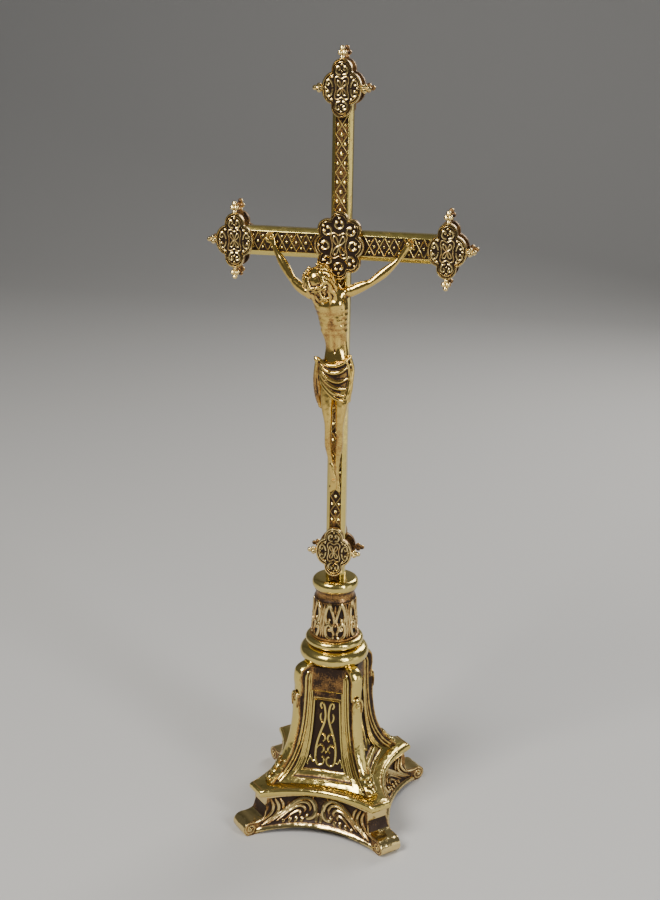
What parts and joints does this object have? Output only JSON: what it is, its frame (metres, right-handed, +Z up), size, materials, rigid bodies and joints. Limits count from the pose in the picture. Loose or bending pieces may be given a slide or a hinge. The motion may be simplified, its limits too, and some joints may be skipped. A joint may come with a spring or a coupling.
{
  "type": "standing altar crucifix",
  "caption": "Standing crucifix: a bar cross with lobed medallions and a figure, on a turned stack, a flared pedestal and a scroll-footed apron.",
  "frame": {"origin": "on the floor at the centre of the footprint", "axes": "+Z up along the upright, -Y towards the front that the figure faces, +X to the right seen from the front"},
  "size_m": [0.132, 0.0908, 0.4003],
  "materials": {
    "apron_brass": "cast, dark brown patina in the recesses, rubbed bright on the high scrolls",
    "pedestal_brass": "cast and polished, brown patina in the panels and joints",
    "turned_brass": "turned and polished",
    "sleeve_brass": "cast leaf relief, dark ground, bright edges",
    "bar_brass": "polished mouldings, dark lattice band",
    "medallion_brass": "cast relief, dark ground, rubbed rims and scrolls",
    "corpus_brass": "cast and polished, patina in the folds and hair",
    "screw_brass": "machined, dulled",
    "plain_steel": "zinc-dull steel"
  },
  "bodies": {
    "base": {"foot_apron": "apron_brass", "pedestal": "pedestal_brass", "torus_ring": "turned_brass", "apron_screw_1": "plain_steel", "apron_screw_2": "plain_steel", "apron_screw_3": "plain_steel", "apron_screw_4": "plain_steel"},
    "cross": {"centre_washer": "screw_brass", "clamp_washer": "plain_steel", "collar": "turned_brass", "corpus": "corpus_brass", "cross_upright": "bar_brass", "crossbar": "bar_brass", "feet_nail": "corpus_brass", "filigree_sleeve": "sleeve_brass", "hand_nail_left": "corpus_brass", "hand_nail_right": "corpus_brass", "hex_nut": "plain_steel", "medallion_bottom": "medallion_brass", "medallion_bottom_rear": "medallion_brass", "medallion_centre": "medallion_brass", "medallion_left": "medallion_brass", "medallion_left_rear": "medallion_brass", "medallion_right": "medallion_brass", "medallion_right_rear": "medallion_brass", "medallion_screw_bottom": "screw_brass", "medallion_screw_centre": "screw_brass", "medallion_screw_left": "screw_brass", "medallion_screw_right": "screw_brass", "medallion_screw_top": "screw_brass", "medallion_top": "medallion_brass", "medallion_top_rear": "medallion_brass", "sleeve_base_ring": "turned_brass", "tie_rod": "plain_steel"}
  },
  "joints": [
    {"name": "cross_swivel", "type": "hinge", "parent": "base", "child": "cross", "pos_m": [0, 0, 0.0981], "axis": [0, 0, 1], "continuous": true}
  ]
}
